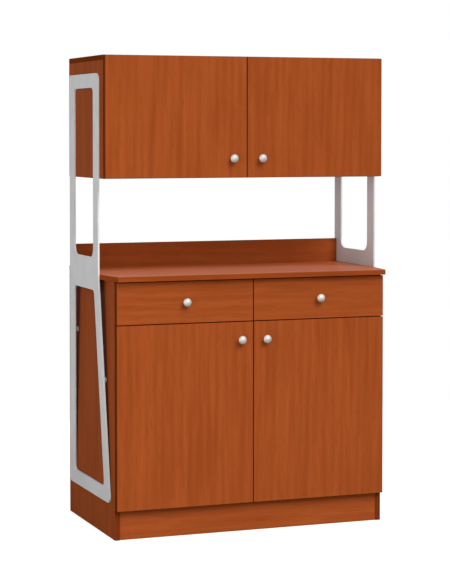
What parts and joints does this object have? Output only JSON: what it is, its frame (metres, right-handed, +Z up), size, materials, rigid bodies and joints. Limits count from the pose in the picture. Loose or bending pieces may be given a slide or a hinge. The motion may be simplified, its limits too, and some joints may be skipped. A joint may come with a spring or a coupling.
{
  "type": "kitchen cabinet",
  "caption": "Kitchen dresser cabinet: a base unit with drawers, doors and a worktop, and metal plate side frames that carry a hinged-door top unit.",
  "frame": {"origin": "on the floor, at the middle of the whole object's plan", "axes": "+Z up, fronts towards -Y, +X to the right seen from the front"},
  "size_m": [1.062, 0.607, 1.676],
  "materials": {
    "cherry_laminate": "satin laminate, straight grain",
    "drawer_box": "matt sealed board",
    "frame_paint": "satin grey powder coat",
    "satin_nickel": "satin nickel plate",
    "plated_steel": "bright nickel plate",
    "zinc_steel": "zinc plate",
    "clear_rubber": "clear soft"
  },
  "bodies": {
    "cabinet": {"backsplash": "cherry_laminate", "backsplash_screws": "zinc_steel", "base_back": "drawer_box", "base_bottom": "cherry_laminate", "base_left_side": "cherry_laminate", "base_right_side": "cherry_laminate", "base_shelf": "cherry_laminate", "bumpers": "clear_rubber", "cabinet_rails": "plated_steel", "drawer_deck": "cherry_laminate", "drawer_divider": "cherry_laminate", "fixing_rail": "cherry_laminate", "frame_bolts": "zinc_steel", "frame_spacers": "frame_paint", "front_top_rail": "cherry_laminate", "hinge_arms": "plated_steel", "left_side_frame": "frame_paint", "plinth_back": "cherry_laminate", "plinth_front": "cherry_laminate", "right_side_frame": "frame_paint", "shelf_pins": "zinc_steel", "upper_back": "drawer_box", "upper_bottom": "cherry_laminate", "upper_left_side": "cherry_laminate", "upper_right_side": "cherry_laminate", "upper_shelf": "cherry_laminate", "upper_top": "cherry_laminate", "worktop": "cherry_laminate", "worktop_screws": "zinc_steel"},
    "base_door_left": {"base_left_door": "cherry_laminate", "base_left_door_hinge_cups": "plated_steel", "base_left_door_knob": "satin_nickel", "base_left_door_knob_screw": "zinc_steel"},
    "base_door_right": {"base_right_door": "cherry_laminate", "base_right_door_hinge_cups": "plated_steel", "base_right_door_knob": "satin_nickel", "base_right_door_knob_screw": "zinc_steel"},
    "drawer_left": {"left_drawer_bottom": "drawer_box", "left_drawer_box_ends": "drawer_box", "left_drawer_box_sides": "drawer_box", "left_drawer_front": "cherry_laminate", "left_drawer_knob": "satin_nickel", "left_drawer_knob_screw": "zinc_steel", "left_drawer_runners": "plated_steel"},
    "drawer_right": {"right_drawer_bottom": "drawer_box", "right_drawer_box_ends": "drawer_box", "right_drawer_box_sides": "drawer_box", "right_drawer_front": "cherry_laminate", "right_drawer_knob": "satin_nickel", "right_drawer_knob_screw": "zinc_steel", "right_drawer_runners": "plated_steel"},
    "upper_door_left": {"upper_left_door": "cherry_laminate", "upper_left_door_hinge_cups": "plated_steel", "upper_left_door_knob": "satin_nickel", "upper_left_door_knob_screw": "zinc_steel"},
    "upper_door_right": {"upper_right_door": "cherry_laminate", "upper_right_door_hinge_cups": "plated_steel", "upper_right_door_knob": "satin_nickel", "upper_right_door_knob_screw": "zinc_steel"}
  },
  "joints": [
    {"name": "base_door_left_hinge", "type": "hinge", "parent": "cabinet", "child": "base_door_left", "pos_m": [-0.4975, -0.2675, 0.4237], "axis": [0, 0, -1], "range_deg": [0, 105]},
    {"name": "upper_door_left_hinge", "type": "hinge", "parent": "cabinet", "child": "upper_door_left", "pos_m": [-0.5185, -0.2065, 1.4615], "axis": [0, 0, -1], "range_deg": [0, 105]},
    {"name": "drawer_left_slide", "type": "slide", "parent": "cabinet", "child": "drawer_left", "axis": [0, -1, 0], "range_m": [0, 0.34]},
    {"name": "base_door_right_hinge", "type": "hinge", "parent": "cabinet", "child": "base_door_right", "pos_m": [0.4975, -0.2675, 0.4237], "axis": [0, 0, 1], "range_deg": [0, 105]},
    {"name": "upper_door_right_hinge", "type": "hinge", "parent": "cabinet", "child": "upper_door_right", "pos_m": [0.5185, -0.2065, 1.4615], "axis": [0, 0, 1], "range_deg": [0, 105]},
    {"name": "drawer_right_slide", "type": "slide", "parent": "cabinet", "child": "drawer_right", "axis": [0, -1, 0], "range_m": [0, 0.34]}
  ]
}
